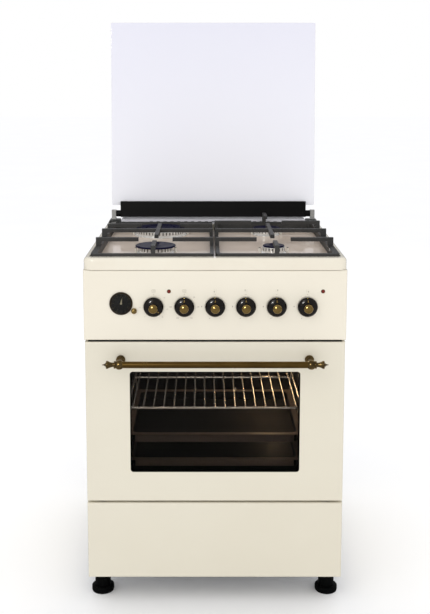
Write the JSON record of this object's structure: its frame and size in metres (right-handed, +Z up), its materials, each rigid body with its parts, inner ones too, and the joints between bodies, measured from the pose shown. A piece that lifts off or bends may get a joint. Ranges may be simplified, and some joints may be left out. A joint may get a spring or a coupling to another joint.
{
  "type": "range cooker",
  "caption": "Free-standing gas range cooker with cast iron pan supports, glass lid, drop-down oven door with window and rail handle, analogue timer, control knobs and a lower drawer.",
  "frame": {"origin": "on the floor, under the centre of the bounding box's plan", "axes": "+Z up, +X to the right as seen from the front, +Y from the oven door to the back"},
  "size_m": [0.6, 0.6529, 1.3897],
  "materials": {
    "cream_enamel": "gloss enamel",
    "panel_enamel": "gloss enamel",
    "casing_paint": "satin paint",
    "zinc_sheet": "zinc plated",
    "oven_enamel": "vitreous enamel",
    "mineral_wool": "matt fibre",
    "seal_rubber": "matt silicone",
    "chrome_wire": "bright plated",
    "element_steel": "oxidised",
    "lamp_glass": "frosted",
    "oven_glass": "clear, tinted",
    "lid_glass": "white backed",
    "black_rail": "satin black",
    "cast_iron": "matt enamel",
    "burner_alloy": "cast",
    "cap_enamel": "black enamel",
    "ceramic": "glazed",
    "bronze": "antique",
    "dark_bronze": "antique, dark",
    "knob_bronze": "antique, dark",
    "brass_part": "machined",
    "plated_steel": "zinc plated",
    "black_plastic": "satin",
    "tray_enamel": "vitreous enamel",
    "pilot_red": "clear red",
    "dial_black": "satin",
    "hand_gold": "satin",
    "vent_paint": "satin"
  },
  "bodies": {
    "cooker": {"side_panel_left": "casing_paint", "side_panel_right": "casing_paint", "back_panel": "zinc_sheet", "casing_screws": "plated_steel", "terminal_cover": "black_plastic", "base_frame": "zinc_sheet", "levelling_feet": "black_plastic", "drawer_shelf": "zinc_sheet", "control_panel": "panel_enamel", "hob_top": "cream_enamel", "rear_vent_strip": "vent_paint", "oven_cavity": "oven_enamel", "oven_insulation": "mineral_wool", "door_seal": "seal_rubber", "rack_guides": "chrome_wire", "heating_elements": "element_steel", "oven_lamp": "lamp_glass", "door_hinge_receivers": "plated_steel", "drawer_runners": "plated_steel", "burner_crowns": "burner_alloy", "igniters": "ceramic", "lid_hinge_posts": "black_rail", "oven_switches": "black_plastic", "gas_taps": "brass_part", "timer_case": "dial_black", "pilot_lamps": "pilot_red", "gas_pipework": "plated_steel"},
    "door": {"door_outer_panel": "cream_enamel", "door_outer_glass": "oven_glass", "door_inner_glass": "oven_glass", "door_liner": "oven_enamel", "door_hinge_arms": "plated_steel", "handle_bar": "bronze", "handle_ends": "dark_bronze"},
    "drawer": {"drawer_front": "cream_enamel", "drawer_box": "zinc_sheet"},
    "lid": {"lid_glass": "lid_glass", "lid_rail": "black_rail"},
    "rack": {"wire_rack": "chrome_wire"},
    "baking tray": {"baking_tray": "tray_enamel"},
    "deep tray": {"deep_tray": "tray_enamel"},
    "left pan support": {"pan_support_left": "cast_iron"},
    "right pan support": {"pan_support_right": "cast_iron"},
    "front left cap": {"burner_cap_front_left": "cap_enamel"},
    "rear left cap": {"burner_cap_rear_left": "cap_enamel"},
    "front right cap": {"burner_cap_front_right": "cap_enamel"},
    "rear right cap": {"burner_cap_rear_right": "cap_enamel"},
    "minute hand": {"minute_hand": "hand_gold"},
    "hour hand": {"hour_hand": "hand_gold"},
    "timer crown": {"timer_crown": "knob_bronze"},
    "oven selector knob": {"knob_1": "knob_bronze"},
    "thermostat knob": {"knob_2": "knob_bronze"},
    "tap spindle 1": {"tap_spindle_1": "plated_steel"},
    "tap knob 1": {"knob_3": "knob_bronze"},
    "tap spindle 2": {"tap_spindle_2": "plated_steel"},
    "tap knob 2": {"knob_4": "knob_bronze"},
    "tap spindle 3": {"tap_spindle_3": "plated_steel"},
    "tap knob 3": {"knob_5": "knob_bronze"},
    "tap spindle 4": {"tap_spindle_4": "plated_steel"},
    "tap knob 4": {"knob_6": "knob_bronze"}
  },
  "joints": [
    {"name": "door_hinge", "type": "hinge", "parent": "cooker", "child": "door", "pos_m": [0, -0.2635, 0.266], "axis": [1, 0, 0], "range_deg": [0, 90], "stiffness_Nm_per_rad": 8, "springref_deg": -5.73},
    {"name": "rack_slide", "type": "slide", "parent": "cooker", "child": "rack", "axis": [0, -1, 0], "range_m": [0, 0.2514]},
    {"name": "baking_tray_slide", "type": "slide", "parent": "cooker", "child": "baking tray", "axis": [0, -1, 0], "range_m": [0, 0.1414]},
    {"name": "deep_tray_slide", "type": "slide", "parent": "cooker", "child": "deep tray", "axis": [0, -1, 0], "range_m": [0, 0.0629]},
    {"name": "drawer_slide", "type": "slide", "parent": "cooker", "child": "drawer", "axis": [0, -1, 0], "range_m": [0, 0.3]},
    {"name": "lid_hinge", "type": "hinge", "parent": "cooker", "child": "lid", "pos_m": [0, 0.2825, 0.855], "axis": [-1, 0, 0], "range_deg": [-93, 0]},
    {"name": "left_support_lift", "type": "slide", "parent": "cooker", "child": "left pan support", "axis": [0, 0, 1], "range_m": [0, 0.1]},
    {"name": "right_support_lift", "type": "slide", "parent": "cooker", "child": "right pan support", "axis": [0, 0, 1], "range_m": [0, 0.1]},
    {"name": "front_left_cap_lift", "type": "slide", "parent": "cooker", "child": "front left cap", "axis": [0, 0, 1], "range_m": [0, 0.05]},
    {"name": "rear_left_cap_lift", "type": "slide", "parent": "cooker", "child": "rear left cap", "axis": [0, 0, 1], "range_m": [0, 0.05]},
    {"name": "front_right_cap_lift", "type": "slide", "parent": "cooker", "child": "front right cap", "axis": [0, 0, 1], "range_m": [0, 0.05]},
    {"name": "rear_right_cap_lift", "type": "slide", "parent": "cooker", "child": "rear right cap", "axis": [0, 0, 1], "range_m": [0, 0.05]},
    {"name": "oven_selector_turn", "type": "hinge", "parent": "cooker", "child": "oven selector knob", "pos_m": [-0.14, -0.2835, 0.719], "axis": [0, -1, 0], "continuous": true},
    {"name": "thermostat_turn", "type": "hinge", "parent": "cooker", "child": "thermostat knob", "pos_m": [-0.07, -0.2835, 0.719], "axis": [0, -1, 0], "range_deg": [-270, 0]},
    {"name": "tap_push_1", "type": "slide", "parent": "cooker", "child": "tap spindle 1", "axis": [0, 1, 0], "range_m": [0, 0.004], "stiffness_N_per_m": 600},
    {"name": "tap_turn_1", "type": "hinge", "parent": "tap spindle 1", "child": "tap knob 1", "pos_m": [0, -0.2835, 0.719], "axis": [0, -1, 0], "range_deg": [0, 210]},
    {"name": "tap_push_2", "type": "slide", "parent": "cooker", "child": "tap spindle 2", "axis": [0, 1, 0], "range_m": [0, 0.004], "stiffness_N_per_m": 600},
    {"name": "tap_turn_2", "type": "hinge", "parent": "tap spindle 2", "child": "tap knob 2", "pos_m": [0.07, -0.2835, 0.719], "axis": [0, -1, 0], "range_deg": [0, 210]},
    {"name": "tap_push_3", "type": "slide", "parent": "cooker", "child": "tap spindle 3", "axis": [0, 1, 0], "range_m": [0, 0.004], "stiffness_N_per_m": 600},
    {"name": "tap_turn_3", "type": "hinge", "parent": "tap spindle 3", "child": "tap knob 3", "pos_m": [0.14, -0.2835, 0.719], "axis": [0, -1, 0], "range_deg": [0, 210]},
    {"name": "tap_push_4", "type": "slide", "parent": "cooker", "child": "tap spindle 4", "axis": [0, 1, 0], "range_m": [0, 0.004], "stiffness_N_per_m": 600},
    {"name": "tap_turn_4", "type": "hinge", "parent": "tap spindle 4", "child": "tap knob 4", "pos_m": [0.21, -0.2835, 0.719], "axis": [0, -1, 0], "range_deg": [0, 210]},
    {"name": "minute_hand_turn", "type": "hinge", "parent": "cooker", "child": "minute hand", "pos_m": [-0.214, -0.2753, 0.726], "axis": [0, -1, 0], "continuous": true},
    {"name": "hour_hand_turn", "type": "hinge", "parent": "cooker", "child": "hour hand", "pos_m": [-0.214, -0.2746, 0.726], "axis": [0, -1, 0], "continuous": true},
    {"name": "timer_crown_turn", "type": "hinge", "parent": "cooker", "child": "timer crown", "pos_m": [-0.1845, -0.2775, 0.709], "axis": [0, -1, 0], "continuous": true}
  ],
  "couplings": [
    {"joint": "rack_slide", "follows": "door_hinge", "m_per_rad": 0.16},
    {"joint": "baking_tray_slide", "follows": "door_hinge", "m_per_rad": 0.09},
    {"joint": "deep_tray_slide", "follows": "door_hinge", "m_per_rad": 0.04},
    {"joint": "front_left_cap_lift", "follows": "left_support_lift", "ratio": 0.5},
    {"joint": "rear_left_cap_lift", "follows": "left_support_lift", "ratio": 0.5},
    {"joint": "front_right_cap_lift", "follows": "right_support_lift", "ratio": 0.5},
    {"joint": "rear_right_cap_lift", "follows": "right_support_lift", "ratio": 0.5},
    {"joint": "minute_hand_turn", "follows": "timer_crown_turn", "ratio": 0.33333},
    {"joint": "hour_hand_turn", "follows": "timer_crown_turn", "ratio": 0.027778}
  ]
}
